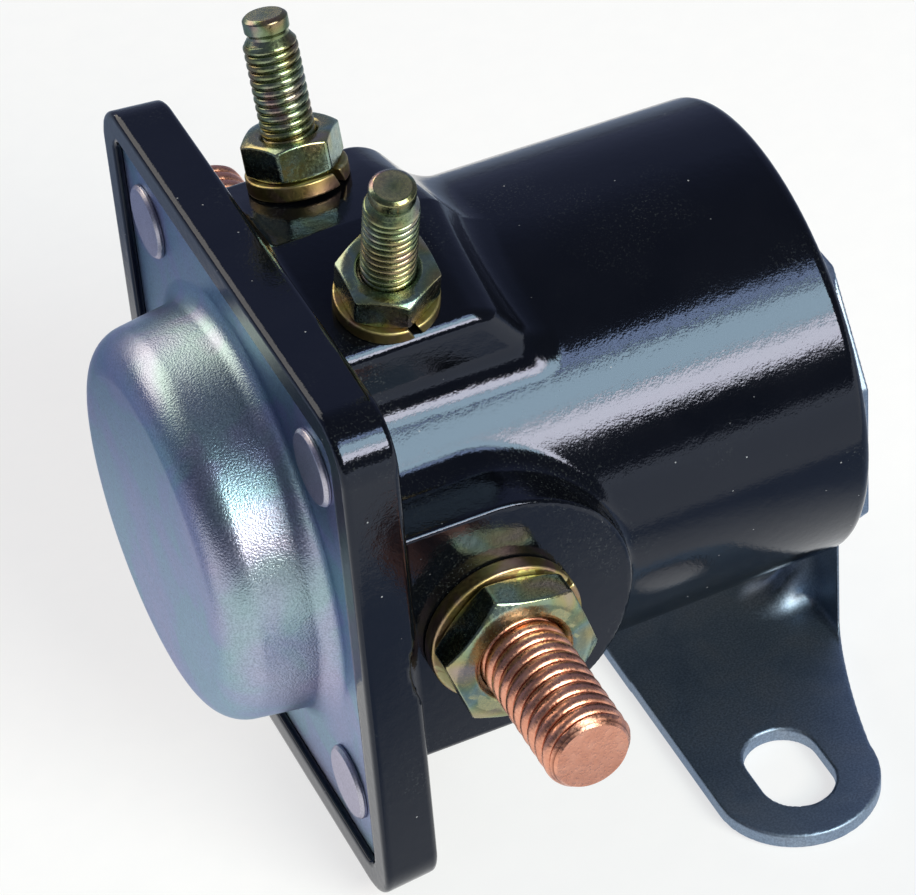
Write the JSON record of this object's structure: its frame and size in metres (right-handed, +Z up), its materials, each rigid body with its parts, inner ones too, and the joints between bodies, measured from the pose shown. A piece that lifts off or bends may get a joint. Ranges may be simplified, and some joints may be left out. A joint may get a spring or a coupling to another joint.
{
  "type": "starter solenoid relay",
  "caption": "Moulded starter relay with two heavy copper terminals, two small terminals, a pressed metal cover, a coil with plunger and contact disc inside, and a slotted mounting bracket.",
  "frame": {"origin": "midway between the two slots of the mounting bracket, on the underside of its ears", "axes": "+Z up through the slots, away from the surface that the relay is bolted to; +X along the barrel towards its closed end; +Y across, along the line of the two heavy terminals"},
  "size_m": [0.0636, 0.0864, 0.0697],
  "materials": {
    "black_moulding": "glossy black moulded phenolic with a faint blue cast",
    "zinc_blue": "blue-white zinc plate on pressed steel, softly frosted",
    "gasket_paper": "dark pressed fibre and rubber gasket sheet",
    "rivet_zinc": "zinc plated steel rivet, satin",
    "copper_stud": "bare rolled copper, bright with fine machining marks",
    "zinc_yellow": "iridescent yellow zinc chromate on steel",
    "zinc_bracket": "blue-white zinc plate on stamped steel sheet",
    "soft_iron": "turned soft iron, lightly oiled",
    "fibre_board": "brown paper phenolic board",
    "bobbin_nylon": "natural nylon moulding",
    "magnet_wire": "enamelled copper wire",
    "brass_parts": "bright brass sheet",
    "bright_steel": "bright drawn steel"
  },
  "bodies": {
    "relay_body": {"housing": "black_moulding", "cover": "zinc_blue", "cover_gasket": "gasket_paper", "cover_rivets": "rivet_zinc", "battery_stud": "copper_stud", "motor_stud": "copper_stud", "start_stud": "zinc_yellow", "ignition_stud": "zinc_yellow", "bracket": "zinc_bracket", "core": "soft_iron", "coil_can": "soft_iron", "pole_plate": "soft_iron", "insulator_plate": "fibre_board", "bobbin": "bobbin_nylon", "winding": "magnet_wire", "coil_wrap": "fibre_board", "plunger_sleeve": "brass_parts", "return_spring": "bright_steel", "start_tab": "brass_parts", "coil_lead": "magnet_wire", "ground_lead": "magnet_wire", "ignition_finger": "copper_stud"},
    "plunger_set": {"plunger": "soft_iron", "plunger_rod": "bright_steel", "disc_bush": "fibre_board", "spring_clip": "bright_steel", "contact_spring": "bright_steel"},
    "disc_set": {"contact_disc": "copper_stud", "disc_washer": "fibre_board"},
    "battery_washer_lift": {"battery_washer": "zinc_yellow"},
    "battery_nut_turn": {"battery_nut": "zinc_yellow"},
    "motor_washer_lift": {"motor_washer": "zinc_yellow"},
    "motor_nut_turn": {"motor_nut": "zinc_yellow"},
    "start_washer_lift": {"start_washer": "zinc_yellow"},
    "start_nut_turn": {"start_nut": "zinc_yellow"},
    "ignition_washer_lift": {"ignition_washer": "zinc_yellow"},
    "ignition_nut_turn": {"ignition_nut": "zinc_yellow"}
  },
  "joints": [
    {"name": "plunger_slide", "type": "slide", "parent": "relay_body", "child": "plunger_set", "axis": [1, 0, 0], "range_m": [0, 0.0034], "stiffness_N_per_m": 900, "springref_m": -0.002, "deforming": ["return_spring"]},
    {"name": "disc_overtravel", "type": "slide", "parent": "plunger_set", "child": "disc_set", "axis": [1, 0, 0], "range_m": [-0.00095, 0], "deforming": ["contact_spring"]},
    {"name": "battery_nut_lift", "type": "slide", "parent": "relay_body", "child": "battery_washer_lift", "axis": [0, -1, 0], "range_m": [0, 0.00987]},
    {"name": "battery_nut_turn", "type": "hinge", "parent": "battery_washer_lift", "child": "battery_nut_turn", "pos_m": [-0.0257, -0.028, 0.02855], "axis": [0, -1, 0], "range_deg": [0, 2520]},
    {"name": "motor_nut_lift", "type": "slide", "parent": "relay_body", "child": "motor_washer_lift", "axis": [0, 1, 0], "range_m": [0, 0.00987]},
    {"name": "motor_nut_turn", "type": "hinge", "parent": "motor_washer_lift", "child": "motor_nut_turn", "pos_m": [-0.0257, 0.028, 0.02855], "axis": [0, 1, 0], "range_deg": [0, 2520]},
    {"name": "start_nut_lift", "type": "slide", "parent": "relay_body", "child": "start_washer_lift", "axis": [0, -0.2672, 0.9636], "range_m": [0, 0.00793]},
    {"name": "start_nut_turn", "type": "hinge", "parent": "start_washer_lift", "child": "start_nut_turn", "pos_m": [-0.0275, -0.01031, 0.05706], "axis": [0, -0.2672, 0.9636], "range_deg": [0, 3600]},
    {"name": "ignition_nut_lift", "type": "slide", "parent": "relay_body", "child": "ignition_washer_lift", "axis": [0, 0.2672, 0.9636], "range_m": [0, 0.00793]},
    {"name": "ignition_nut_turn", "type": "hinge", "parent": "ignition_washer_lift", "child": "ignition_nut_turn", "pos_m": [-0.0275, 0.01031, 0.05706], "axis": [0, 0.2672, 0.9636], "range_deg": [0, 3600]}
  ],
  "couplings": [
    {"joint": "disc_overtravel", "follows": "plunger_slide", "ratio": -0.2794},
    {"joint": "battery_nut_turn", "follows": "battery_nut_lift", "rad_per_m": 4452.7},
    {"joint": "motor_nut_turn", "follows": "motor_nut_lift", "rad_per_m": 4452.7},
    {"joint": "start_nut_turn", "follows": "start_nut_lift", "rad_per_m": 7915.8},
    {"joint": "ignition_nut_turn", "follows": "ignition_nut_lift", "rad_per_m": 7915.8}
  ]
}
